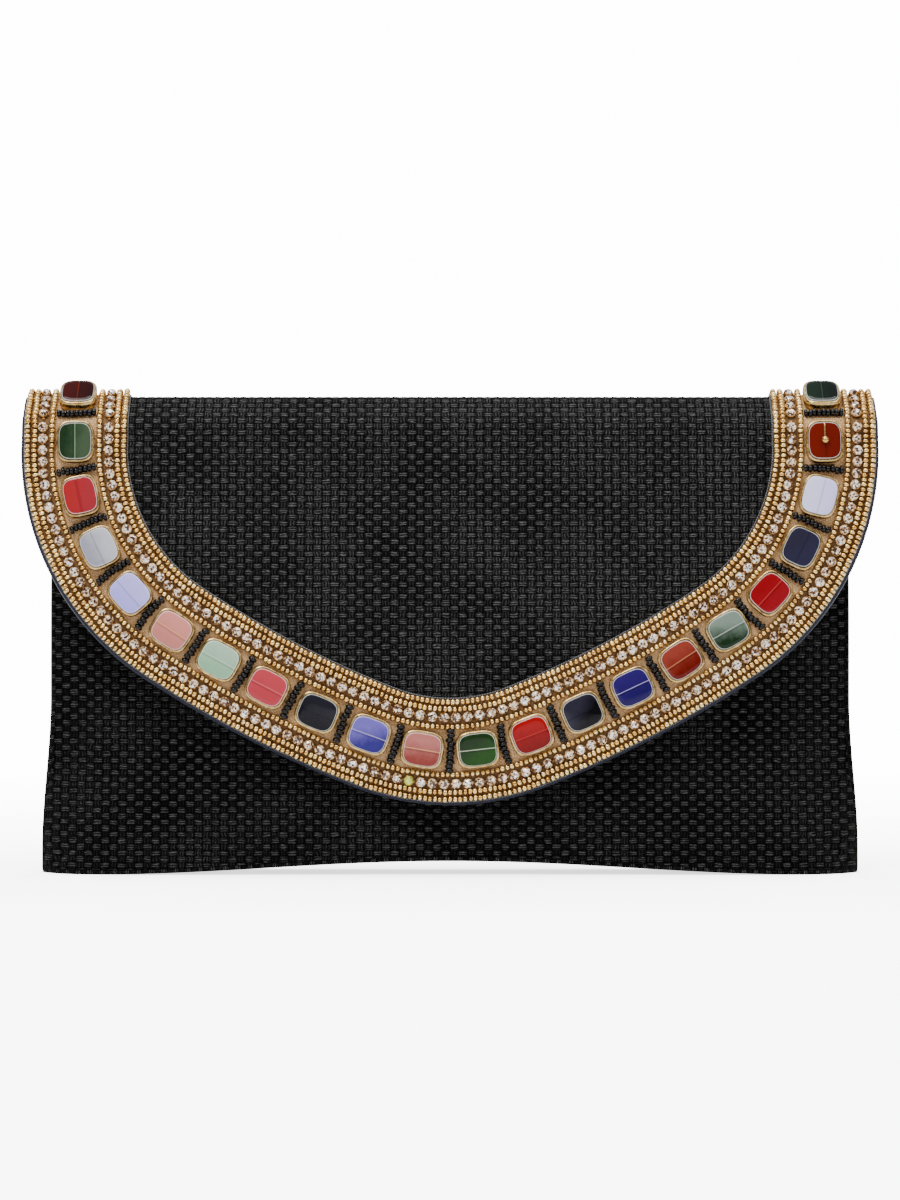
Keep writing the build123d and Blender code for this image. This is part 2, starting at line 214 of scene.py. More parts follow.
def settle(obj, where, slot, *nodes):
    """Ties a piece to a body, or for a zone of the fold bakes its transform into the mesh, and hides the nodes it
    replaces; the slot is not used.
    """
    if where in BENDS:
        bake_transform(obj)
    else:
        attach(obj, where)
    if nodes:
        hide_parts(*nodes)


def fold_node(zone, kind):
    """The CAD nodes that a zone's piece stands for; the last zone has none of its own."""
    return {"a": ["fold_back_" + kind], "b": ["fold_front_" + kind]}.get(zone, [])


def zone_mask(s, zone):
    if zone == "flap":
        return s >= FLAP_START
    low, high = ZONES[zone]
    return (s >= low) & (s < high)


# ------------------------------------------------------------ mesh helpers

def mesh_object(name, verts, faces, materials, uv=None, tint=None, slots=None, flat=False):
    """verts in millimetres; faces any list of index tuples; uv and tint per vertex."""
    mesh = bpy.data.meshes.new(name)
    mesh.from_pydata(row(verts).tolist(), [], faces if isinstance(faces, list) else faces.tolist())
    if not isinstance(materials, (list, tuple)):
        materials = [materials]
    for m in materials:
        mesh.materials.append(m)
    mesh.polygons.foreach_set("use_smooth", [not flat] * len(mesh.polygons))
    if slots is not None:
        mesh.polygons.foreach_set("material_index", np.asarray(slots, np.int32))
    if uv is not None:
        index = np.zeros(len(mesh.loops), np.int32)
        mesh.loops.foreach_get("vertex_index", index)
        layer = mesh.uv_layers.new(name="UVMap")
        layer.data.foreach_set("uv", np.asarray(uv, np.float32)[index].ravel())
    if tint is not None:
        layer = mesh.attributes.new("tint", "FLOAT", "POINT")
        layer.data.foreach_set("value", np.asarray(tint, np.float32))
    mesh.update()
    obj = bpy.data.objects.new(name, mesh)
    bpy.context.scene.collection.objects.link(obj)
    return obj


def grid_faces(rows, cols, keep=None, wrap=False):
    last = cols if wrap else cols - 1
    i, j = np.meshgrid(np.arange(rows - 1), np.arange(last), indexing="ij")
    k = (j + 1) % cols
    quads = np.stack([i * cols + j, i * cols + k, (i + 1) * cols + k, (i + 1) * cols + j], -1)
    quads = quads.reshape(-1, 4)
    return quads if keep is None else quads[keep[quads].all(1)]


def used_only(verts, faces, *extra):
    used = np.zeros(len(verts), bool)
    used[faces.ravel()] = True
    index = np.cumsum(used) - 1
    return [verts[used], index[faces]] + [e[used] for e in extra]


def copies(proto_verts, proto_faces, centres, frames, scales=None):
    """Copies of a small mesh at many places; returns verts, faces and each vertex's copy."""
    count, size = len(centres), len(proto_verts)
    local = np.broadcast_to(proto_verts, (count, size, 3))
    if scales is not None:
        local = local * scales[:, None, :]
    verts = np.einsum("nij,nkj->nki", frames, local) + centres[:, None, :]
    faces = [tuple(v + n * size for v in f) for n in range(count) for f in proto_faces]
    return verts.reshape(-1, 3), faces, np.repeat(np.arange(count), size)


def lathe(profile, segments, axis=0):
    """Rings of (along, radius) turned about an axis: 0 for x, 2 for z."""
    verts, faces = [], []
    for along, radius in profile:
        for k in range(segments):
            a = 2 * math.pi * k / segments
            p = (along, radius * math.cos(a), radius * math.sin(a))
            verts.append(p if axis == 0 else (p[1], p[2], p[0]))
    for i in range(len(profile) - 1):
        for k in range(segments):
            j = (k + 1) % segments
            faces.append((i * segments + k, i * segments + j,
                          (i + 1) * segments + j, (i + 1) * segments + k))
    return np.array(verts), faces


def tube(points, normals, half_width, half_height, segments=10):
    """A rounded strip swept along points; returns verts, quads and (along, around) per vertex."""
    t = unit(np.gradient(points, axis=0))
    n = unit(normals - t * (normals * t).sum(1, keepdims=True))
    b = np.cross(n, t)
    a = 2 * math.pi * np.arange(segments) / segments
    ring = (b[:, None] * (half_width * np.cos(a))[None, :, None]
            + n[:, None] * (half_height * np.sin(a))[None, :, None])
    verts = (points[:, None] + ring).reshape(-1, 3)
    faces = grid_faces(len(points), segments, wrap=True).tolist()
    faces.append(list(range(segments))[::-1])
    faces.append([(len(points) - 1) * segments + k for k in range(segments)])
    run = np.concatenate([[0], np.cumsum(np.linalg.norm(np.diff(points, axis=0), axis=1))])
    uv = np.stack([np.repeat(run, segments), np.tile(a / (2 * math.pi), len(points))], 1)
    return verts, faces, uv


def join_meshes(parts):
    """Joins (verts, faces, per-vertex data...) tuples into one."""
    verts, faces, extras, base = [], [], [[] for _ in parts[0][2:]], 0
    for part in parts:
        verts.append(part[0])
        faces += [tuple(int(v) + base for v in f) for f in part[1]]
        for store, e in zip(extras, part[2:]):
            store.append(e)
        base += len(part[0])
    return [np.concatenate(verts), faces] + [np.concatenate(e) for e in extras]


# ------------------------------------------------------------ materials

def operator(operation, swapped=False):
    def work(self, *others):
        terms = (self, *others)
        return self.nodes.math(operation, *(terms[::-1] if swapped else terms))
    return work


class Value:
    """A number that the shader works out, written with Python's own operators."""

    def __init__(self, nodes, socket):
        self.nodes, self.socket = nodes, socket

    __add__, __radd__ = operator("ADD"), operator("ADD", True)
    __sub__, __rsub__ = operator("SUBTRACT"), operator("SUBTRACT", True)
    __mul__, __rmul__ = operator("MULTIPLY"), operator("MULTIPLY", True)
    __truediv__, __pow__, __mod__ = operator("DIVIDE"), operator("POWER"), operator("MODULO")
    __abs__, floor, sine, root = (operator(name) for name in ("ABSOLUTE", "FLOOR", "SINE", "SQRT"))
    at_least, at_most, above = (operator(name) for name in ("MAXIMUM", "MINIMUM", "GREATER_THAN"))


class Nodes:
    """Short-hand for building a node tree."""

    def __init__(self, name):
        self.material = bpy.data.materials.new(name)
        self.material.use_nodes = True
        self.tree = self.material.node_tree
        self.shader = self.tree.nodes["Principled BSDF"]

    def add(self, kind, **props):
        node = self.tree.nodes.new(kind)
        for key, value in props.items():
            setattr(node, key, value)
        return node

    def feed(self, socket, value):
        if isinstance(value, Value):
            value = value.socket
        if isinstance(value, bpy.types.NodeSocket):
            self.tree.links.new(value, socket)
        else:
            socket.default_value = value

    def read(self, kind, output, **props):
        return Value(self, self.add(kind, **props).outputs[output])

    def tint(self):
        return self.read("ShaderNodeAttribute", "Fac", attribute_name="tint")

    def uv_axes(self):
        uv = self.add("ShaderNodeUVMap", uv_map="UVMap").outputs["UV"]
        split = self.add("ShaderNodeSeparateXYZ")
        self.feed(split.inputs[0], uv)
        return uv, Value(self, split.outputs[0]), Value(self, split.outputs[1])

    def math(self, operation, *terms):
        node = self.add("ShaderNodeMath", operation=operation)
        for socket, value in zip(node.inputs, terms):
            self.feed(socket, value)
        return Value(self, node.outputs[0])

    def mix_value(self, factor, a, b):
        """a where the factor is 0, b where it is 1."""
        node = self.add("ShaderNodeMix", data_type="FLOAT")
        for socket, value in zip(node.inputs[:1] + node.inputs[2:4], (factor, a, b)):
            self.feed(socket, value)
        return Value(self, node.outputs[0])

    def noise(self, scale, detail=3.0, rough=0.5, vector=None, spread=None):
        node = self.add("ShaderNodeTexNoise")
        for key, value in (("Scale", scale), ("Detail", detail), ("Roughness", rough)):
            node.inputs[key].default_value = value
        if vector is None:
            vector = self.add("ShaderNodeTexCoord").outputs["Object"]
        if spread is not None:
            mapping = self.add("ShaderNodeMapping")
            mapping.inputs["Scale"].default_value = spread
            self.feed(mapping.inputs["Vector"], vector)
            vector = mapping.outputs["Vector"]
        self.feed(node.inputs["Vector"], vector)
        return Value(self, node.outputs["Fac"])

    def ramp(self, value, stops):
        node = self.add("ShaderNodeValToRGB")
        self.feed(node.inputs["Fac"], value)
        band = node.color_ramp
        while len(band.elements) < len(stops):
            band.elements.new(0.5)
        for element, (place, colour) in zip(band.elements, stops):
            element.position = place
            element.color = (*colour, 1.0)
        return node.outputs["Color"]

    def mix(self, factor, a, b):
        node = self.add("ShaderNodeMix", data_type="RGBA")
        self.feed(node.inputs["Factor"], factor)
        for socket, value in ((node.inputs[6], a), (node.inputs[7], b)):
            self.feed(socket, value if isinstance(value, bpy.types.NodeSocket) else (*value, 1.0))
        return node.outputs[2]

    def bump(self, height, distance):
        node = self.add("ShaderNodeBump")
        node.inputs["Distance"].default_value = distance
        self.feed(node.inputs["Height"], height)
        self.feed(self.shader.inputs["Normal"], node.outputs["Normal"])

    def finish(self, **sockets):
        for key, value in sockets.items():
            socket = self.shader.inputs[key.replace("_", " ")]
            if isinstance(value, tuple):
                value = (*value, 1.0)
            self.feed(socket, value)
        return self.material


def woven(name, stops, cells=(CELL_X, CELL_Z), depth=0.0009, strands=2.6, warp_painted_light=0.25, bead_shade=None):
    """Plain weave of thick yarns, each a few filaments side by side; the UV map is in millimetres. Its colour
    holds painted shade in the hollows between the yarns and painted highlights along the filaments. One argument
    sets how light the yarns that run up and down are painted next to the weft, which catches the light from above;
    the last is a half width and the colour past it, painted shade between the beads."""
    n = Nodes(name)
    uv, ux, uy = n.uv_axes()
    drift = n.noise(0.30, 2.0, vector=uv) - 0.5
    gx, gy = [(axis + drift * (0.3 * cell)) / cell for axis, cell in zip((ux, uy), cells)]
    ix, iy = gx.floor(), gy.floor()
    fx, fy = gx - ix - 0.5, gy - iy - 0.5
    sign = 1.0 - abs((ix + iy) % 2.0) * 2.0

    def yarn(across, along, direction, pinch):
        body = (1.0 - across * across * pinch).at_least(0.01).root()
        flat_top = 1.0 - (abs(along) * 2.0) ** 4.0
        return body * 0.55 + flat_top * direction * 0.45

    weft, warp = yarn(fy, fx, sign, 3.9), yarn(fx, fy, sign * -1.0, 3.7)
    height, on_weft = warp.at_least(weft), weft.above(warp)
    wobble = n.noise(0.55, 3.0, 0.6, vector=uv, spread=(0.7, 1.6, 1.0)) * 1.4

    def filaments(across, number):
        return ((across * number + wobble) * (2 * math.pi)).sine() * 0.5 + 0.5

    fibre = n.mix_value(on_weft, filaments(gx, strands * 1.1), filaments(gy, strands))
    fine = n.noise(1.9, 3.0, 0.65, vector=uv, spread=(0.55, 1.5, 1.0))
    n.bump(height + (fibre * 0.12 + fine * 0.20), depth)
    # Painted light and shade: the warp is painted darker than the weft and lighter in broad patches. Each yarn is
    # painted darker towards its hollows and lighter along its filaments.
    share = warp_painted_light + (n.noise(0.028, 2.0, vector=uv) - 0.47) * 1.3
    lit = n.mix_value(on_weft, share.at_least(0.12).at_most(0.8), 1.0)
    grain = (0.25 + fibre * 0.75) * (-0.15 + fine * 2.1)
    colour = n.ramp(height.at_least(0.0) * lit * grain, stops)
    # Painted shade: past the half width the backing darkens to the brown of the shade between the beads.
    if bead_shade:
        reach, shade_colour = bead_shade
        beyond = (abs(uy) - reach) * 1.2
        colour = n.mix(beyond.at_least(0.0).at_most(1.0), colour, shade_colour)
    return n.finish(Base_Color=colour, Roughness=0.50 + fine * 0.25, Specular_IOR_Level=0.02)


def gold_material():
    n = Nodes("gold_seed_beads")
    tint, wear = n.tint(), n.noise(900.0, 3.0)
    colour = n.ramp(tint * 0.75 + wear * 0.25, [(0.05, (0.48, 0.270, 0.080)), (0.5, (0.78, 0.51, 0.180)),
                                                (0.95, (1.0, 0.80, 0.39))])
    n.bump(wear, 0.00004)
    return n.finish(Base_Color=colour, Metallic=1.0, Roughness=0.17 + wear * 0.16)


def black_bead_material():
    n = Nodes("black_seed_beads")
    colour = n.ramp(n.tint(), [(0.0, (0.0006, 0.0006, 0.001)), (1.0, (0.0022, 0.0020, 0.0036))])
    return n.finish(Base_Color=colour, Roughness=0.03 + n.noise(700.0) * 0.06, Specular_IOR_Level=0.30)


def crystal_material():
    """A tint of up to 1 runs from dark to white facets, painted reflections and sparkle; LIME more than that makes
    them lime.
    """
    n = Nodes("crystal_facets_painted_sparkle")
    tint = n.tint()
    colour = n.ramp(tint, [(0.0, (0.020, 0.008, 0.006)), (0.40, (0.15, 0.065, 0.035)),
                           (0.58, (0.66, 0.43, 0.25)), (0.80, (1.0, 0.87, 0.70)), (0.90, (1.0, 1.0, 1.0))])
    lime = n.ramp(tint - LIME, [(0.0, (0.12, 0.14, 0.01)), (1.0, (0.80, 0.92, 0.16))])
    colour = n.mix(tint.above(LIME - 0.5), colour, lime)
    return n.finish(Base_Color=colour, Metallic=0.35, Roughness=0.04 + n.noise(500.0) * 0.06,
                    Specular_IOR_Level=0.8)


def worn_metal(name, scale, stops, rough, detail=3.0, noise_rough=0.5, bump=None, spread=None):
    n = Nodes(name)
    wear = n.noise(scale, detail, noise_rough, spread=spread)
    colour = n.ramp(wear, stops)
    if bump:
        n.bump(wear, bump)
    return n.finish(Base_Color=colour, Metallic=1.0, Roughness=rough[0] + wear * rough[1])


def from_srgb(c):
    """Linear colour of an 0 to 255 screen colour, deepened to allow for the light in the scene."""
    c = np.array(c) / 255.0
    linear = np.where(c <= 0.04045, c / 12.92, ((c + 0.055) / 1.055) ** 2.4)
    return tuple(float(v) for v in 0.80 * linear ** 1.18)


def stone_glass(name, tone_and_reflection_above, tone_and_reflection_below, line, strength, slant):
    """Table-cut glass: one colour running into another across the bead, the glass's own colour with a painted
    reflection of the lights, the drilled hole seen as a fine line along it, a painted highlight on the bevel and
    painted shade in the groove at its edge. The UV map is in millimetres from its centre."""
    n = Nodes(name)
    uv, ux, uy = n.uv_axes()
    tone_and_reflection_above, tone_and_reflection_below, line = from_srgb(tone_and_reflection_above), from_srgb(tone_and_reflection_below), from_srgb(line)

    def ridge(value, centre, half):
        return (1.0 - abs(value - centre) / half).at_least(0.0)

    cloud = n.noise(0.28, 3.0, 0.6, vector=uv) - 0.5
    run = uy + ux * slant
    # Painted reflection: the colours above and below carry the lights' reflection as well as the glass's own
    # colour.
    colour = n.ramp((0.5 - run * 0.085) + cloud * 0.5, [(0.25, tone_and_reflection_above), (0.80, tone_and_reflection_below)])
    bent = uy + cloud * 0.25
    colour = n.mix(ridge(bent, -0.55, 0.45) * 0.45, colour, tuple(0.35 * v for v in tone_and_reflection_below))
    colour = n.mix(ridge(bent, 0.0, 0.22) * strength, colour, line)
    reach = ((abs(ux) / STONE_X) ** ROUND + (abs(uy) / STONE_Y) ** ROUND) ** (1 / ROUND)
    # Painted highlight: a pale line on the bevel round the table.
    colour = n.mix(ridge(reach, 0.838, 0.020) * 0.7, colour, (0.80, 0.80, 0.74))
    # Painted shade: near black in the groove between the gilt lip and the bevel.
    colour = n.mix(reach.above(0.868), colour, (0.012, 0.010, 0.008))
    return n.finish(Base_Color=colour, Roughness=0.05 + cloud * 0.05, Specular_IOR_Level=0.16)


def thread_material():
    n = Nodes("edge_thread")
    uv, ux, uy = n.uv_axes()
    twist = (ux * 7.0 + uy * (2 * math.pi)).sine()
    n.bump(twist, 0.00008)
    # Painted shade: the colour follows the twist, light on its ridges and dark in its grooves.
    colour = n.ramp(0.5 + twist * 0.5, [(0.0, (0.015, 0.015, 0.018)), (1.0, (0.15, 0.15, 0.165))])
    return n.finish(Base_Color=colour, Roughness=0.5)


def satin_material(name, dark, light):
    n = Nodes(name)
    uv, ux, uy = n.uv_axes()
    ribs = ((ux + uy) * 12.0).sine()
    fine = n.noise(3.0, 3.0, vector=uv)
    n.bump(ribs * 0.3 + fine, 0.00008)
    return n.finish(Base_Color=n.ramp(fine, [(0.3, dark), (0.7, light)]), Roughness=0.38 + fine * 0.15,
                    Sheen_Weight=0.04, Specular_IOR_Level=0.22)


def ferrite_material():
    n = Nodes("ferrite")
    grain = n.noise(900.0, 4.0)
    n.bump(grain, 0.00006)
    return n.finish(Base_Color=n.ramp(grain, [(0.3, (0.02, 0.02, 0.02)), (0.7, (0.07, 0.07, 0.075))]),
                    Roughness=0.5 + grain * 0.3)


def greys(*stops):
    return [(place, (level,) * 3) for place, level in stops]


# One fabric in two copies: the flap's copy, and its warp, are painted lighter for the light that falls on the
# flap.
CLOTH = woven("black_basket_weave", greys((0.0, 0.0002), (0.2, 0.0013), (0.5, 0.0112), (1.0, 0.068)),
              warp_painted_light=0.50)
FLAP_CLOTH_PAINTED_LIGHTER = woven("black_basket_weave_flap_painted_lighter", greys((0.0, 0.0002), (0.2, 0.0016), (0.5, 0.0165), (1.0, 0.088)),
                   warp_painted_light=0.66)
# The backing's darker brown past 6.8 mm is painted shade between the beads.
BACKING = woven("tan_backing", [(0.0, (0.20, 0.085, 0.030)), (0.3, (0.52, 0.30, 0.14)),
                                (0.8, (0.86, 0.62, 0.36))],
                cells=(0.62, 0.62), depth=0.0002, strands=1.6, warp_painted_light=0.7,
                bead_shade=(6.8, (0.20, 0.112, 0.052)))
GOLD = gold_material()
BLACK = black_bead_material()
CRYSTAL = crystal_material()
CUP = worn_metal("chain_cups", 600.0, [(0.3, (0.30, 0.14, 0.045)), (0.7, (0.72, 0.44, 0.17))], (0.2, 0.2))
GILT = worn_metal("gilt_bead_edge", 420.0, [(0.30, (0.20, 0.12, 0.035)), (0.5, (0.50, 0.34, 0.13)),
                                            (0.75, (0.80, 0.60, 0.30))], (0.14, 0.25), 4.0, 0.65, 0.00008)
THREAD = thread_material()
LINING = satin_material("navy_satin", (0.004, 0.005, 0.013), (0.012, 0.014, 0.032))
NICKEL = worn_metal("nickel", 260.0, [(0.3, (0.42, 0.40, 0.37)), (0.7, (0.72, 0.70, 0.66))], (0.16, 0.22), 4.0,
                    spread=(1.0, 6.0, 1.0))
FERRITE = ferrite_material()

# ------------------------------------------------------------ weave relief


def weave_height(u, v):
    gx, gy = u / CELL_X, v / CELL_Z
    ix, iy = np.floor(gx), np.floor(gy)
    fx, fy = gx - ix - 0.5, gy - iy - 0.5
    sign = 1 - 2 * np.mod(ix + iy, 2)

    def yarn(across, along, direction):
        body = np.sqrt(np.maximum(1 - 3.7 * across**2, 0.02))
        return 0.55 * body + 0.45 * (1 - (2 * np.abs(along)) ** 4) * direction

    return np.maximum(yarn(fx, fy, -sign), yarn(fy, fx, sign))


def waves(u, v, seed, scale, count=7):
    """Smooth pseudo-random undulation between -1 and 1."""
    r = np.random.default_rng(seed)
    total = np.zeros_like(u)
    for _ in range(count):
        angle, phase = r.uniform(0, math.pi), r.uniform(0, 2 * math.pi)
        k = 2 * math.pi / (scale * r.uniform(0.6, 1.8))
        total += np.sin(k * (u * math.cos(angle) + v * math.sin(angle)) + phase)
    return total / count


# ------------------------------------------------------------ body walls

FRONT_DEPTH = [(0, 17.0), (12, 17.2), (25, 17.2), (43, 17.0), (58, 17.8), (72, 18.4),
               (90, 18.2), (105, 17.3), (125, 14.2), (150, 10.2), (156, 9.2)]
BACK_DEPTH = [(0, 15.0), (12, 16.8), (25, 18.8), (43, 20.8), (58, 21.8), (72, 22.2),
              (88, 22.0), (105, 20.85), (125, 17.68), (154.5, 13.01), (156, 12.77)]


def depth_curve(table):
    z = np.array([p[0] for p in table], float)
    v = np.array([p[1] for p in table], float)
    fine = np.linspace(z[0], z[-1], 400)
    window = np.hanning(45)
    window /= window.sum()
    return fine, np.convolve(np.pad(np.interp(fine, z, v), 22, mode="edge"), window, mode="valid")


FRONT_CURVE, BACK_CURVE = depth_curve(FRONT_DEPTH), depth_curve(BACK_DEPTH)


def half_width(z):
    return 140.0 - 3.0 * smooth((z - 8) / 52)


def arch(x):
    return np.where(np.abs(x) < 124, 4.7 * np.cos(np.pi / 2 * np.clip(x / 124, -1, 1)) ** 2, 0.0)


def seam_y(z):
    return 11.9 * np.maximum(0, (z - 80) / (FOLD_Z - 80)) ** 2


def wall(side, u, z):
    curve = FRONT_CURVE if side < 0 else BACK_CURVE
    depth = np.interp(z, *curve)
    edge = seam_y(z) * side + 1.3
    power = 4 + 14 * np.maximum(0, 1 - z / 60) ** 2
    y = side * (edge + (depth - edge) * (1 - np.abs(u) ** power))
    return np.stack([u * half_width(z), y, z], -1)


def surface_normals(p):
    du, dv = np.gradient(p, axis=1), np.gradient(p, axis=0)
    return unit(np.cross(du, dv))


def body_wall(side, top, name, replaced):
    cols, rows = 471, 291
    u = np.linspace(-1, 1, cols)[None, :]
    low = arch(u * 140.0)
    t = np.linspace(0, 1, rows)[:, None]
    z = low + (top - low) * t
    u = np.broadcast_to(u, z.shape)
    p = wall(side, u, z)
    n = surface_normals(p)
    n *= np.sign(n[..., 1:2].mean()) * side
    x = p[..., 0]
    relief = (weave_height(x, z) - 0.62) * 0.42
    edge_fade = smooth((1 - np.abs(u)) * 137 / 3.0) * smooth(t * (top - low) / 2.0)
    side_gap = (1 - np.abs(u)) * 137
    puckers = 0.35 * np.sin(z * 2 * math.pi / 13.0 + 1.1 * np.sin(z / 9.0)) * np.exp(-side_gap / 9.0)
    corner = np.hypot(140 - np.abs(x), z)
    bearing = np.arctan2(z, 140 - np.abs(x))
    tuck = -0.9 * np.exp(-((bearing - 0.75) / 0.16) ** 2) * np.exp(-((corner - 9) / 8.0) ** 2)
    slack = 0.45 * waves(x, z, 3 + side, 70.0) + 0.18 * waves(x, z, 9 + side, 26.0)
    slack = slack * smooth(side_gap / 20) * smooth(z / 14)
    lift = relief * edge_fade + (puckers + tuck) * smooth(side_gap / 2.0) + slack
    if side < 0:
        lift = lift - 0.5 * smooth((z - 20) / 20)
    p = p + n * lift[..., None]
    faces = grid_faces(rows, cols)
    if side > 0:
        faces = faces[:, ::-1]
    uv = np.stack([x, z], -1).reshape(-1, 2)
    settle(mesh_object(name, p.reshape(-1, 3), faces, CLOTH, uv=uv), "bag_body", "woven_cloth", *replaced)


body_wall(-1, 150.0, "front_cloth", ["front_panel", "front_stiffener"])
body_wall(1, 152.6, "back_cloth", ["back_panel", "back_stiffener"])


def bottom_cloth():
    cols, rows = 301, 41
    u = np.linspace(-1, 1, cols)[None, :]
    x = u * 139.6
    z = arch(x)
    front = wall(-1, u, z)[..., 1]
    back = wall(1, u, z)[..., 1]
    t = np.linspace(0, 1, rows)[:, None]
    y = front + (back - front) * t
    rise = 0.9 * (1 - np.sin(np.pi * t)) * 0.4
    z = np.broadcast_to(z, y.shape) + rise
    x = np.broadcast_to(x, y.shape)
    lift = (weave_height(x, y) - 1.0) * 0.35
    p = np.stack([x, y, z - np.minimum(lift, 0) * 0.6], -1)
    uv = np.stack([x, y], -1).reshape(-1, 2)
    obj = mesh_object("bottom_cloth", p.reshape(-1, 3), grid_faces(rows, cols)[:, ::-1], CLOTH, uv=uv)
    settle(obj, "bag_body", "woven_cloth", "bottom_panel")


bottom_cloth()


def body_edges():
    """Rolled seams: both sides, the two bottom edges and the mouth's front hem."""
    parts = []
    z = np.linspace(1.2, 151.0, 160)
    for sign in (-1, 1):
        pts = np.stack([sign * (half_width(z) - 0.7), seam_y(z), z], -1)
        nrm = np.broadcast_to([sign * 1.0, 0, 0], pts.shape)
        parts.append(tube(pts, nrm, 1.9, 1.1))
    u = np.linspace(-0.995, 0.995, 240)
    for side in (-1, 1):
        base = wall(side, u, arch(u * 140.0) + 0.9)
        base[:, 1] -= side * 0.35
        nrm = np.broadcast_to([0, side * 0.6, -0.8], base.shape)
        parts.append(tube(base, nrm, 0.9, 0.8))
    top = wall(-1, u, np.full_like(u, 150.0))
    top[:, 1] += 0.9
    parts.append(tube(top, np.broadcast_to([0, 0, 1.0], top.shape), 1.5, 1.0))
    verts, faces, uv = join_meshes(parts)
    uv = np.stack([uv[:, 1] * 8.0, uv[:, 0]], 1)
    obj = mesh_object("body_seam_rolls", verts, faces, CLOTH, uv=uv)
    settle(obj, "bag_body", "woven_cloth")


body_edges()


def lining_pouch():
    for side, top, node in ((-1, 149.0, "front_lining"), (1, 151.0, "back_lining")):
        cols, rows = 181, 101
        u = np.linspace(-1, 1, cols)[None, :]
        t = np.linspace(0, 1, rows)[:, None]
        z = 8.0 + (top - 8.0) * t + 0 * u
        u = np.broadcast_to(u, z.shape)
        depth = (np.interp(z, *(FRONT_CURVE if side < 0 else BACK_CURVE)) - 2.9)
        depth = depth * (1 - np.maximum(0, (27 - z) / 19) ** 2.4)
        edge = 0.8 * seam_y(z) * side
        depth = np.maximum(depth, edge + 0.2)
        x = u * (half_width(z) - 8)
        y = side * (edge + (depth - edge) * (1 - np.abs(u) ** 4))
        folds = 0.7 * waves(x, z, 21 + side, 34.0) * smooth((top - z) / 25) * smooth((1 - np.abs(u)) * 6)
        p = np.stack([x, y - side * (folds + 0.5) * 0.6, z], -1)
        faces = grid_faces(rows, cols)
        if side < 0:
            faces = faces[:, ::-1]
        obj = mesh_object("pouch_front" if side < 0 else "pouch_back", p.reshape(-1, 3), faces, LINING,
                          uv=np.stack([x, z], -1).reshape(-1, 2))
        obj.modifiers.new("thickness", "SOLIDIFY").thickness = 0.0004
        settle(obj, "bag_body", "lining_cloth", node)


lining_pouch()

# ------------------------------------------------------------ flap and fold cloth


def weave_v(s):
    """Where the weave lies along the profile; a little stretched over the fold."""
    return -np.where(s > S_FRONT, s, S_FRONT + (s - S_FRONT) * 0.74)


def outlined(low_s, high_s, step, rim, height):
    """A flap layer: grid cells inside the rim, with edge vertices pulled onto it."""
    half = TRIM_X + rim
    cols = int(2 * half / step) + 1
    x = np.linspace(-half, half, cols)[None, :]
    rows = int((high_s - low_s) / step) + 2
    s = np.linspace(low_s, high_s, rows)[:, None]
    x, s = np.broadcast_arrays(x, s)
    x, s = x.copy(), s.copy()
    z = np.interp(s, PROFILE_S, PROFILE[:, 1])
    front = s > S_FRONT
    d = np.where(front, outside(x, z), np.abs(x) - TRIM_X) - rim
    keep = d <= step * 0.6
    over = keep & (d > 0)
    e = 0.05
    gx = (outside(x + e, z) - outside(x - e, z)) / (2 * e)
    gz = (outside(x, z + e) - outside(x, z - e)) / (2 * e)
    x = np.where(over, x - d * gx, x)
    s = np.where(over & front, s_of_z(z - d * gz), s)
    faces = grid_faces(rows, cols, keep=keep.ravel())
    d = height(x, s) if callable(height) else height
    p = on_cloth(x, s, d).reshape(-1, 3)
    uv = np.stack([x, weave_v(s)], -1).reshape(-1, 2)
    return used_only(p, faces, uv)


S_TIP = float(s_of_z(TIP_Z - 17.6)) + 1.0


def cloth_height(x, s):
    relief = (weave_height(x, weave_v(s)) - 0.62) * 0.42
    return 0.6 + relief + 0.25 * waves(x, s, 31, 60.0) * smooth((s - S_FRONT) / 20)


def flap_cloth():
    verts, faces, uv = outlined(FLAP_START, S_TIP, 0.56, CLOTH_RIM, cloth_height)
    obj = mesh_object("flap_cloth", verts, faces[:, ::-1], FLAP_CLOTH_PAINTED_LIGHTER, uv=uv)
    settle(obj, "flap", "woven_cloth", "flap_panel", "flap_stiffener")
    for zone, (low, high) in ZONES.items():
        lift = 0.5 if zone == "a" else 0.0
        verts, faces, uv = outlined(low, high, 0.5, CLOTH_RIM,
                                    lambda x, s: cloth_height(x, s) + lift * smooth(-s / 2))
        obj = mesh_object("fold_cloth_" + zone, verts, faces[:, ::-1], FLAP_CLOTH_PAINTED_LIGHTER, uv=uv)
        settle(obj, zone, "woven_cloth", *fold_node(zone, "panel"))


flap_cloth()


def flap_lining():
    verts, faces, uv = outlined(FLAP_START, S_TIP + 1, 1.2, LINING_RIM,
                                lambda x, s: -2.1 + 0.15 * waves(x, s, 41, 45.0))
    obj = mesh_object("flap_lining_cloth", verts, faces, LINING, uv=uv)
    settle(obj, "flap", "lining_cloth", "flap_lining")
    for zone, (low, high) in ZONES.items():
        verts, faces, uv = outlined(low, high, 0.8, LINING_RIM, -1.1)
        obj = mesh_object("fold_lining_" + zone, verts, faces, LINING, uv=uv)
        settle(obj, zone, "lining_cloth", *fold_node(zone, "lining"))


flap_lining()


def along_rim(w, d, zone, s_back):
    """Pieces of the rim line that lie in a zone, as point and normal runs."""
    x, s = row_line(w, s_back)
    inside = zone_mask(s, zone)
    runs, start = [], None
    for i, hit in enumerate(list(inside) + [False]):
        if hit and start is None:
            start = i
        if not hit and start is not None:
            a, b = max(0, start - 1), min(len(s), i + 1)
            if b - a > 2:
                runs.append((on_cloth(x[a:b], s[a:b], d), normal_at(s[a:b])))
            start = None
    return runs


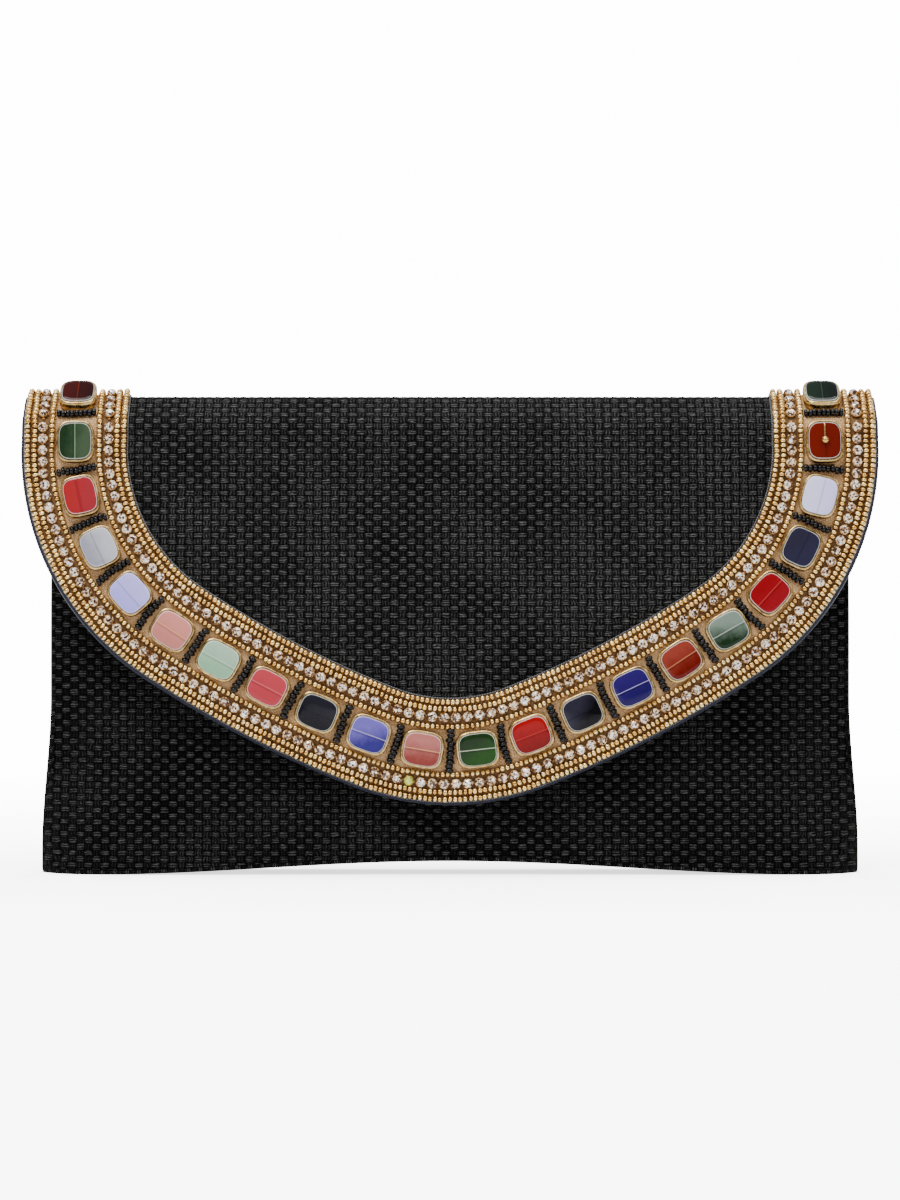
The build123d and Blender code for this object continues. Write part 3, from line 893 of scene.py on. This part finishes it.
def rim_pieces(base, w, d, wide, high, material, slot_name, s_back):
    for zone in ("flap", "a", "b", "c"):
        verts, faces, uv = join_meshes([tube(p, n, wide, high, 8) for p, n in along_rim(w, d, zone, s_back)])
        settle(mesh_object(base + "_" + zone, verts, faces, material, uv=uv), zone, slot_name)


rim_pieces("lining_edge", 17.75, -0.85, 1.0, 1.55, LINING, "lining_cloth", -2.6)
rim_pieces("edge_thread_outer", 17.35, 1.50, 0.30, 0.30, THREAD, "backing_cloth", 2.0)
rim_pieces("edge_thread_inner", -17.55, 1.15, 0.30, 0.30, THREAD, "backing_cloth", 2.0)


def ribbon(zone):
    """Tan backing ribbon under the beads."""
    parts = []
    w = np.linspace(-17.5, 17.3, 30)
    lines = [row_line(v) for v in w]
    count = 1100
    grid_x, grid_s = [], []
    for x, s in lines:
        t = np.linspace(0, 1, len(x))
        grid_x.append(np.interp(np.linspace(0, 1, count), t, x))
        grid_s.append(np.interp(np.linspace(0, 1, count), t, s))
    x, s = np.array(grid_x), np.array(grid_s)
    mid = s[15]
    edges = np.zeros(count, bool)
    edges[zone_mask(mid, zone)] = True
    runs = np.split(np.arange(count), np.where(np.diff(edges.astype(int)) != 0)[0] + 1)
    for r in runs:
        if not edges[r[0]]:
            continue
        a, b = max(0, r[0] - 1), min(count, r[-1] + 2)
        gx, gs = x[:, a:b], s[:, a:b]
        dome = 0.25 * (1 - (w / 17.5) ** 2)[:, None]
        top = on_cloth(gx, gs, 1.2 + dome)
        run = np.arange(a, b) * (430.0 / count)
        uv = np.stack(np.broadcast_arrays(run[None, :], w[:, None]), -1)
        parts.append((top.reshape(-1, 3), grid_faces(*gx.shape).tolist(), uv.reshape(-1, 2)))
    return join_meshes(parts)


def backing():
    for zone in ("flap", "a", "b", "c"):
        verts, faces, uv = ribbon(zone)
        obj = mesh_object("backing_ribbon_" + zone, verts, faces, BACKING, uv=uv)
        nodes = ["flap_trim_backing"] if zone == "flap" else fold_node(zone, "trim_backing")
        settle(obj, zone, "backing_cloth", *nodes)


backing()

# ------------------------------------------------------------ seed beads

BEAD = lathe([(-0.58, 0.40), (-0.71, 0.56), (-0.64, 0.80), (-0.36, 0.99), (0.0, 1.05), (0.36, 0.99), (0.64, 0.80),
              (0.71, 0.56), (0.58, 0.40)], 12)


def unsettled(frames, amount):
    """Frames each turned a little, about two axes."""
    turn = np.tile(np.eye(3), (len(frames), 1, 1))
    turn[:, 1, 0], turn[:, 2, 0] = rng.normal(0, amount, (2, len(frames)))
    turn[:, 0, 1], turn[:, 0, 2] = -turn[:, 1, 0], -turn[:, 2, 0]
    return np.einsum("nij,njk->nik", frames, turn)


def gold_strands():
    """On the flap one piece per strand, in the fold one piece per zone."""
    store = {zone: [] for zone in ZONES}
    for number, w in enumerate(GOLD_ROWS, 1):
        centre, frames, s, _ = strung(w, 2.45, BEAD_PITCH)
        count = len(centre)
        jitter = rng.normal(0, 0.07, (count, 3))
        jitter[:, 2] = np.abs(jitter[:, 2]) * 0.6
        centre = centre + np.einsum("nij,nj->ni", frames, jitter)
        frames = unsettled(frames, 0.09)
        scale = np.stack([rng.uniform(0.82, 1.02, count), *(rng.uniform(0.93, 1.07, count),) * 2], 1)
        tint = rng.uniform(0, 1, count)
        for zone in ("flap", *ZONES):
            pick = zone_mask(s, zone)
            verts, faces, which = copies(BEAD[0], BEAD[1], centre[pick], frames[pick], scale[pick])
            if zone == "flap":
                name = "gold_strand_%d" % number
                obj = mesh_object(name, verts, faces, GOLD, tint=tint[pick][which])
                settle(obj, "flap", "gold_bead", name)
            else:
                store[zone].append((verts, faces, tint[pick][which]))
    for zone, parts in store.items():
        verts, faces, tint = join_meshes(parts)
        obj = mesh_object("fold_gold_beads_" + zone, verts, faces, GOLD, tint=tint)
        settle(obj, zone, "gold_bead", *fold_node(zone, "gold_strands"))


gold_strands()

# ------------------------------------------------------------ crystal chains


def gem():
    """A round brilliant's crown; the table is cut in eight, like the pavilion seen through it."""
    rings = ((8, 0.0, 0.92, 3.62), (8, 0.5, 1.24, 3.34), (16, 0.0, 1.66, 2.84), (16, 0.0, 1.56, 2.40))
    verts = [(0, 0, 3.66)]
    for count, shift, radius, z in rings:
        for k in range(count):
            a = 2 * math.pi * (k + shift) / count
            verts.append((radius * math.cos(a), radius * math.sin(a), z))
    faces = []
    for k in range(8):
        j = (k + 1) % 8
        t0, t1, s0, s1 = 1 + k, 1 + j, 9 + k, 9 + j
        g0, g1, g2 = 17 + 2 * k, 17 + (2 * k + 1) % 16, 17 + (2 * k + 2) % 16
        faces += [(0, t0, t1), (t0, s0, t1), (t1, s0, g2, s1), (s0, g1, g2), (s0, g0, g1)]
    faces += [(33 + k, 33 + (k + 1) % 16, 17 + (k + 1) % 16, 17 + k) for k in range(16)]
    return np.array(verts), faces


def cup():
    """Setting: a flared ring with four claws and the link to the next cup."""
    ring_v, ring_f = lathe([(1.42, 1.40), (1.50, 1.60), (2.35, 1.72), (2.62, 1.70), (2.60, 1.54)], 16, axis=2)
    parts = [(ring_v, ring_f)]
    for k in range(4):
        a = math.pi / 4 + math.pi / 2 * k
        c, s = math.cos(a), math.sin(a)
        claw = []
        for out, wide, up in ((1.78, 0.30, 1.6), (1.84, 0.26, 2.5), (1.70, 0.22, 3.08), (1.40, 0.15, 3.28)):
            for inward in (0.0, 0.22):
                for sign in (-1, 1):
                    r = out - inward
                    claw.append((r * c - sign * wide * s, r * s + sign * wide * c, up))
        faces = []
        for i in range(3):
            b = 4 * i
            faces += [(b, b + 1, b + 5, b + 4), (b + 3, b + 2, b + 6, b + 7),
                      (b + 2, b, b + 4, b + 6), (b + 1, b + 3, b + 7, b + 5)]
        faces += [(0, 2, 3, 1), (12, 13, 15, 14)]
        parts.append((np.array(claw), faces))
    link = [(x, y, z) for x in (1.65, 2.35) for y in (-0.42, 0.42) for z in (1.5, 1.95)]
    box = [(0, 1, 3, 2), (4, 6, 7, 5), (0, 4, 5, 1), (2, 3, 7, 6), (1, 5, 7, 3), (0, 2, 6, 4)]
    parts.append((np.array(link), box))
    return join_meshes(parts)


GEM, SETTING = gem(), cup()


def crystal_rows():
    chains = {"crystal_chain_inner": -CHAIN_ROW, "crystal_chain_outer": CHAIN_ROW}
    store = {zone: ([], []) for zone in ZONES}
    for name, w in chains.items():
        centre, frames, s, bx = strung(w, 0.0, CHAIN_PITCH)
        count = len(centre)
        turn = rng.uniform(0, math.pi / 4, count)
        spin = np.zeros((count, 3, 3))
        spin[:, 0, 0] = spin[:, 1, 1] = np.cos(turn)
        spin[:, 0, 1], spin[:, 1, 0], spin[:, 2, 2] = -np.sin(turn), np.sin(turn), 1
        gem_frames = np.einsum("nij,njk->nik", frames, spin)
        for zone in ("flap", *ZONES):
            pick = zone_mask(s, zone)
            gv, gf, which = copies(*GEM, centre[pick], gem_frames[pick])
            cv, cf, _ = copies(*SETTING, centre[pick], frames[pick])
            if zone == "flap":
                odd = int(np.argmin(np.abs(bx[pick] + 12))) if w > 0 else -1
                emit_chain(name, gv, gf, cv, cf, "flap", [name], odd)
            else:
                store[zone][0].append((gv, gf))
                store[zone][1].append((cv, cf))
    for zone, (gems, cups) in store.items():
        gv, gf = join_meshes(gems)
        cv, cf = join_meshes(cups)
        emit_chain("fold_crystals_" + zone, gv, gf, cv, cf, zone, fold_node(zone, "crystal_chains"))


def emit_chain(name, gv, gf, cv, cf, where, nodes, odd=-1):
    """Facets get their own vertices, so each can carry its own brightness, a painted reflection from dark to
    sparkling white; one crystal may be lime.
    """
    index = np.concatenate([np.array(f) for f in gf])
    counts = [len(f) for f in gf]
    verts = gv[index]
    starts = np.concatenate([[0], np.cumsum(counts)[:-1]])
    faces = [tuple(range(a, a + c)) for a, c in zip(starts, counts)]
    each = len(GEM[1])
    # Each facet's painted reflection: mostly near dark or near white, a little lighter for some crystals.
    level = rng.beta(0.38, 0.36, len(counts)) * 0.78 + np.repeat(rng.uniform(0, 0.25, len(counts) // each), each)
    if odd >= 0:
        level[odd * each:(odd + 1) * each] += LIME
    tint = np.repeat(level, counts)
    crystals = mesh_object(name + "_stones", verts, faces, CRYSTAL, tint=tint, flat=True)
    settle(crystals, where, "crystal", *nodes)
    settle(mesh_object(name + "_cups", cv, cf, CUP), where, "crystal")


crystal_rows()

# ------------------------------------------------------------ black bars


def trim_frame(x, s, heading):
    n = normal_at(np.array(s))
    across = np.array([1.0, 0, 0])
    upward = np.cross(n, across)
    if upward[2] < 0 and abs(upward[2]) > 0.3:
        upward = -upward
    t = across * math.cos(heading) + upward * math.sin(heading)
    return np.stack([t, np.cross(n, t), n], 1)


def strip_places():
    """Places past the front crease, as (x sign, s) of the bars and stones on the fold."""
    z = path_at(9.5 * PITCH)[1]
    past = (FOLD_Z - z) / math.cos(LEAN)
    return {"stone": S_FRONT - (PITCH - past), "bar_front": S_FRONT - (PITCH / 2 - past),
            "bar_back": S_FRONT - (1.5 * PITCH - past)}


PLACES = strip_places()


def bar_beads(x, s, heading, count=9):
    """Black beads strung across the trim on a slightly crooked thread."""
    f = trim_frame(x, s, heading)
    offset = (np.arange(count) - (count - 1) / 2) * BAR_PITCH
    bow = rng.normal(0, 0.35) * np.cos(offset / 7.0 * math.pi / 2) + rng.normal(0, 0.05) * offset
    side = bow + rng.normal(0, 0.10, count) + 0.12 * (-1) ** np.arange(count)
    centre = on_cloth(x, s, 2.6) + offset[:, None] * f[:, 1] + side[:, None] * f[:, 0]
    frames = unsettled(np.tile(np.stack([f[:, 1], -f[:, 0], f[:, 2]], 1), (count, 1, 1)), 0.12)
    scale = np.stack([np.full(count, 0.98), *(rng.uniform(1.30, 1.46, count),) * 2], 1)
    verts, faces, which = copies(BEAD[0], BEAD[1], centre, frames, scale)
    return verts, faces, rng.uniform(0, 1, count)[which]


def black_bars():
    parts = []
    for k in range(-9, 10):
        x, z, heading = path_at(k * PITCH)
        parts.append(bar_beads(x, float(s_of_z(z)), heading, 10 if k == 0 else 9))
    pieces = [("black_bars", "flap", "black_bead_bars", parts)]
    for side in ("front", "back"):
        parts = [bar_beads(sign * TRIM_X, PLACES["bar_" + side], math.pi / 2) for sign in (-1, 1)]
        pieces.append(("fold_bar_%ss" % side, "fold_" + side, "fold_%s_black_bars" % side, parts))
    for name, body, node, parts in pieces:
        verts, faces, tint = join_meshes(parts)
        settle(mesh_object(name, verts, faces, BLACK, tint=tint), body, "black_bead", node)


black_bars()

# ------------------------------------------------------------ table-cut beads


def stone_mesh(size):
    """Rings of a cushion shape: gilt sides and lip, then the glass table inside a thin groove."""
    count = 40
    a = 2 * math.pi * (np.arange(count) + 0.5) / count
    shape = np.stack([np.sign(np.cos(a)) * np.abs(np.cos(a)) ** (2 / ROUND),
                      np.sign(np.sin(a)) * np.abs(np.sin(a)) ** (2 / ROUND)], 1)
    levels = [(1.0, 0.0), (0.35, 0.12), (0.05, 0.5), (0.0, 1.2), (0.0, 2.5), (0.12, 3.0), (0.34, 3.3),
              (0.58, 3.42), (0.80, 3.36), (0.92, 3.40), (1.16, 3.76), (1.34, 3.84), (2.4, 3.90), (4.2, 3.93)]
    verts = np.concatenate([np.column_stack([shape * (size - inset), np.full(count, z)])
                            for inset, z in levels])
    faces = grid_faces(len(levels), count, wrap=True).tolist()
    slots = [0 if i >= 8 else 1 for i in range(len(levels) - 1) for _ in range(count)]
    faces += [list(range(count))[::-1], [(len(levels) - 1) * count + k for k in range(count)]]
    return verts, faces, verts[:, :2] * np.array([STONE_X, STONE_Y]) / size, slots + [1, 0]


# Each bead in turn, from the left: colour above, colour below, the drilled line, how clearly the line shows, and
# how far the colours run along the bead rather than across it. The colours above and below are the glass's own
# with a painted reflection of the lights, strongest in the pale beads 4 to 8 and 20, and bead 1's line is a
# painted glint.
STONES = [
    ("amber", (74, 18, 16), (52, 10, 12), (190, 70, 30), 0.3, 0.0),
    ("green", (78, 96, 74), (38, 62, 38), (158, 178, 150), 0.8, 0.2),
    ("red", (164, 58, 66), (172, 50, 54), (120, 28, 32), 0.5, 0.2),
    ("navy", (196, 196, 204), (162, 162, 174), (150, 150, 160), 0.0, 0.0),
    ("blue", (196, 188, 252), (180, 174, 246), (214, 212, 240), 0.4, 0.0),
    ("amber", (220, 148, 140), (200, 134, 126), (232, 188, 110), 0.9, 0.1),
    ("green", (176, 200, 180), (150, 190, 158), (222, 232, 218), 0.7, 0.0),
    ("red", (192, 78, 88), (186, 74, 84), (232, 150, 150), 0.6, 0.0),
    ("navy", (44, 42, 52), (20, 18, 32), (40, 40, 50), 0.0, 0.1),
    ("blue", (124, 112, 192), (58, 46, 134), (200, 192, 222), 0.8, -0.5),
    ("amber", (192, 124, 118), (150, 70, 62), (240, 190, 130), 0.9, 0.0),
    ("green", (36, 62, 30), (40, 84, 20), (214, 222, 200), 0.9, -0.5),
    ("red", (166, 8, 18), (134, 4, 8), (214, 66, 54), 0.6, 0.1),
    ("navy", (52, 50, 66), (10, 8, 18), (60, 60, 70), 0.0, -0.9),
    ("blue", (54, 32, 112), (40, 20, 96), (190, 186, 224), 0.8, 0.0),
    ("amber", (150, 68, 56), (112, 20, 6), (214, 156, 108), 0.8, 0.0),
    ("green", (132, 148, 136), (34, 56, 34), (196, 206, 194), 0.8, 0.4),
    ("red", (148, 14, 30), (150, 28, 40), (214, 90, 84), 0.6, 0.0),
    ("navy", (52, 50, 68), (54, 52, 76), (60, 60, 70), 0.0, 0.8),
    ("blue", (226, 222, 255), (216, 212, 254), (236, 234, 250), 0.3, 0.0),
    ("amber", (118, 30, 16), (112, 28, 14), (60, 10, 6), 0.5, 0.0),
    ("green", (34, 50, 40), (22, 34, 28), (120, 140, 128), 0.2, 0.0),
]


def place_stones():
    for number, (colour, *look) in enumerate(STONES, 1):
        glass = stone_glass("%s_glass_%02d" % (colour, number), *look)
        if number in (1, 22):
            x, s, heading, body = (-1 if number == 1 else 1) * TRIM_X, PLACES["stone"], math.pi / 2, "fold_front"
        else:
            x, z, heading = path_at((number - 11.5) * PITCH)
            s, body = float(s_of_z(z)), "flap"
        size = np.array([STONE_X, STONE_Y]) * rng.uniform(0.985, 1.015, 2)
        verts, faces, uv, slots = stone_mesh(size)
        f = trim_frame(x, s, heading)
        if number in (1, 22):
            run = unit(np.array([0.0, -APEX[0] + HINGE_FRONT[0], HINGE_FRONT[1] - APEX[1]]))
            n = np.array([0.0, run[2], -run[1]])
            f = np.stack([-run, np.cross(n, -run), n], 1)
            along = S_FRONT - s
            base = np.array([x, HINGE_FRONT[0] - run[1] * along, HINGE_FRONT[1] - run[2] * along]) + n * 1.6
        else:
            tilt, turn = rng.normal(0, 0.015, 2), rng.normal(0, 0.05)
            f = f @ np.array([[1, -turn, tilt[0]], [turn, 1, tilt[1]], [-tilt[0], -tilt[1], 1]])
            base = on_cloth(x, s, 1.62)
        obj = mesh_object("cut_bead_%02d_%s" % (number, colour), verts @ f.T + base, faces, [glass, GILT],
                          uv=uv, slots=slots)
        settle(obj, body, colour + "_glass", "stone_%02d" % number)
        if number == 21:
            head_pin(f, base)


def head_pin(f, base):
    """The gold ball and wire that show in bead 21."""
    a = np.linspace(0, math.pi, 9)
    ball = lathe([(4.70 + 1.35 * math.cos(t), max(1.35 * math.sin(t), 0.02)) for t in a[::-1]], 16, axis=2)
    wire_x = np.linspace(0.3, STONE_X - 1.2, 12)
    wire = np.stack([wire_x, 0 * wire_x, np.interp(wire_x, [0, 4.8, 6.2], [4.0, 4.0, 3.8])], 1)
    rod = tube(wire, np.broadcast_to([0, 0, 1.0], wire.shape), 0.30, 0.20, 8)
    verts, faces = join_meshes([ball, rod[:2]])
    settle(mesh_object("bead_21_pin", verts @ f.T + base, faces, GOLD), "flap", "gold_bead")


place_stones()

# ------------------------------------------------------------ snap

for node, material in (("snap_socket_case", NICKEL), ("snap_magnet", FERRITE), ("snap_socket_backplate", NICKEL),
                       ("snap_stud_plate", NICKEL), ("snap_stud_backplate", NICKEL)):
    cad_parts[node].data.materials.clear()
    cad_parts[node].data.materials.append(material)

# ------------------------------------------------------------ stage, lights, camera


def studio():
    """A white sweep with a painted glow, brighter towards the back, that the camera sees at full strength while
    only a faint part of it lights the scene; ambient occlusion paints a contact shadow into it near the bag.
    """
    n = Nodes("studio_white")
    split = n.add("ShaderNodeSeparateXYZ")
    n.feed(split.inputs[0], n.add("ShaderNodeTexCoord").outputs["Object"])
    away = n.add("ShaderNodeMapRange", interpolation_type="SMOOTHSTEP")
    for socket, value in zip(away.inputs, (split.outputs[1], -0.1, 1.0, 6.5, 14.0)):
        n.feed(socket, value)
    seen = n.read("ShaderNodeLightPath", "Is Camera Ray")
    near = n.add("ShaderNodeAmbientOcclusion", samples=12)
    near.inputs["Distance"].default_value = 0.22
    # Painted contact shadow: the glow dims where ambient occlusion finds the bag close by.
    contact_shadow_factor = 0.22 + Value(n, near.outputs["AO"]) * 0.78
    glow = Value(n, away.outputs[0]) * (0.032 + seen * contact_shadow_factor * 0.968)
    n.finish(Base_Color=n.ramp(n.noise(3.0, 2.0), greys((0.3, 0.88), (0.7, 0.90))), Roughness=0.9,
             Emission_Color=(0.985, 0.985, 1.0), Emission_Strength=glow)
    profile = [(-2.5, 0.0), (1.2, 0.0)]
    for k in range(1, 13):
        a = math.pi / 2 * k / 12
        profile.append((1.2 + 0.9 * math.sin(a), 0.9 * (1 - math.cos(a))))
    profile.append((2.1, 4.0))
    verts = [(x, y, z) for y, z in profile for x in (-5.0, 5.0)]
    faces = [(2 * i, 2 * i + 1, 2 * i + 3, 2 * i + 2) for i in range(len(profile) - 1)]
    mesh = bpy.data.meshes.new("studio")
    mesh.from_pydata(verts, [], faces)
    mesh.materials.append(n.material)
    mesh.polygons.foreach_set("use_smooth", [True] * len(faces))
    obj = bpy.data.objects.new("studio", mesh)
    bpy.context.scene.collection.objects.link(obj)


def area_light(name, place, target, size, power):
    data = bpy.data.lights.new(name, "AREA")
    data.shape = "RECTANGLE"
    data.size, data.size_y = size
    data.energy = power
    obj = bpy.data.objects.new(name, data)
    obj.location = place
    direction = (np.array(target) - np.array(place)).tolist()
    obj.rotation_euler = Vector(direction).to_track_quat("-Z", "Y").to_euler()
    bpy.context.scene.collection.objects.link(obj)


studio()
area_light("key", (-0.55, -1.0, 1.55), (0, 0, 0.09), (0.6, 0.6), 32)
area_light("fill", (1.2, -0.9, 1.3), (0, 0, 0.09), (0.8, 0.8), 12)
area_light("top", (0, 0.0, 1.6), (0, 0, 0.1), (1.4, 0.8), 20)

world = bpy.data.worlds.new("studio_world")
bpy.context.scene.world = world
world.use_nodes = True
sky = world.node_tree.nodes["Background"]
sky.inputs["Color"].default_value = (1, 1, 1, 1)
seen = world.node_tree.nodes.new("ShaderNodeLightPath").outputs["Is Camera Ray"]
level = world.node_tree.nodes.new("ShaderNodeMapRange")
level.inputs["To Min"].default_value = 0.42
level.inputs["To Max"].default_value = 14.0
world.node_tree.links.new(seen, level.inputs["Value"])
world.node_tree.links.new(level.outputs[0], sky.inputs["Strength"])

camera_data = bpy.data.cameras.new("camera")
camera = bpy.data.objects.new("camera", camera_data)
bpy.context.scene.collection.objects.link(camera)
camera_data.sensor_width = 36.0
DISTANCE = 1.40
camera_data.lens = 36.0 * DISTANCE / 0.4063
camera.location = (0.0, -0.020 - DISTANCE, 0.0935)
camera.rotation_euler = (math.radians(90), 0, 0)
bpy.context.scene.camera = camera
